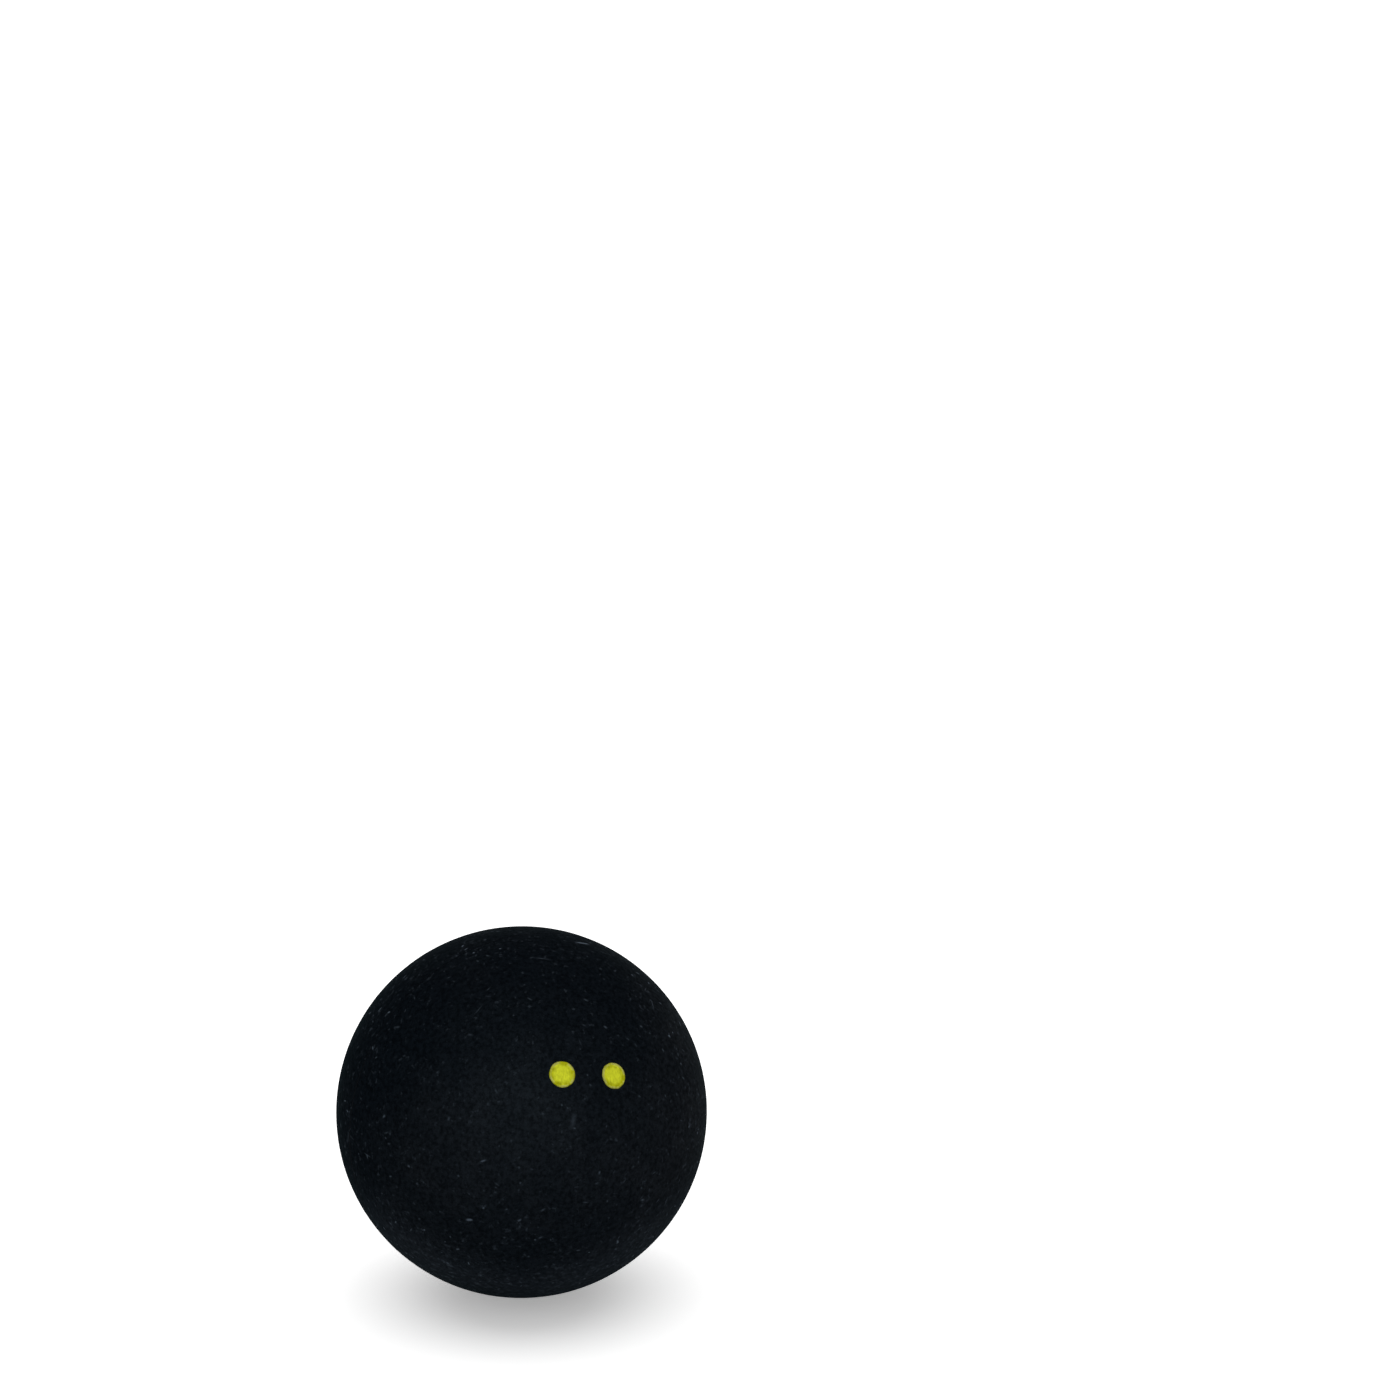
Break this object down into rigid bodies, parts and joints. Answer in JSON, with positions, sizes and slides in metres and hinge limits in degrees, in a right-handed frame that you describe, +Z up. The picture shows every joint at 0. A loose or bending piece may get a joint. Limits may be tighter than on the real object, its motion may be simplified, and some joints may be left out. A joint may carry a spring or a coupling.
{
  "type": "squash ball",
  "caption": "Hollow black rubber squash ball of moulded half shells cemented at a flush seam, with a pair of yellow speed dots.",
  "frame": {"origin": "centre of the ball", "axes": "+Z up as the ball lies; -Y is the front, the side with the dots; the seam lies in the XZ plane, so Y runs through the poles of the half shells"},
  "size_m": [0.04, 0.04, 0.04],
  "materials": {
    "black_rubber": "matte",
    "rubber_cement": "matte",
    "yellow_paint": "satin"
  },
  "bodies": {
    "root": {"front_half_shell": "black_rubber", "rear_half_shell": "black_rubber", "seam_cement": "rubber_cement", "left_dot": "yellow_paint", "right_dot": "yellow_paint"}
  },
  "joints": []
}
